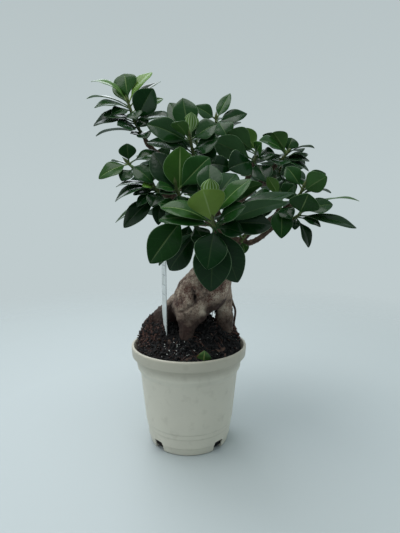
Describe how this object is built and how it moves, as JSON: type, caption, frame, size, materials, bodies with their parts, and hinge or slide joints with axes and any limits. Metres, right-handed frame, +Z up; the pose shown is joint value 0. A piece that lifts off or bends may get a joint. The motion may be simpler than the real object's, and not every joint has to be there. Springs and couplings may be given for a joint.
{
  "type": "potted ginseng ficus",
  "caption": "Young bonsai fig with a swollen grey rootstock on thick root legs, grafted twigs and dark glossy leaves, in a pale round plastic nursery pot.",
  "frame": {"origin": "middle of the pot's flat underside, on the surface that it stands on", "axes": "+Z up, +X to the right of the front view, +Y away from the viewer"},
  "size_m": [0.2673, 0.1999, 0.3772],
  "materials": {
    "pot_plastic": "satin",
    "potting_soil": "matte",
    "root_bark": "matte",
    "twig_bark": "matte",
    "leaf": "gloss",
    "label_plastic": "satin",
    "shed_leaf": "satin"
  },
  "bodies": {
    "root": {"pot": "pot_plastic", "soil": "potting_soil", "rootstock": "root_bark", "twigs": "twig_bark", "shoot_front": "leaf", "shoot_front_left": "leaf", "shoot_centre": "leaf", "shoot_top_left": "leaf", "shoot_upper": "leaf", "shoot_upper_right": "leaf", "shoot_right_top": "leaf", "shoot_right_back": "leaf", "shoot_right": "leaf", "shoot_far_right": "leaf", "shoot_right_low": "leaf", "shoot_left": "leaf", "shoot_lower_left": "leaf", "shoot_back_left": "leaf", "shoot_back_right": "leaf", "shoot_back_top": "leaf", "shoot_back_left_high": "leaf", "shoot_back_right_high": "leaf", "shoot_back_low": "leaf", "shoot_sprout": "leaf", "plant_label": "label_plastic", "fallen_leaf": "shed_leaf"}
  },
  "joints": []
}
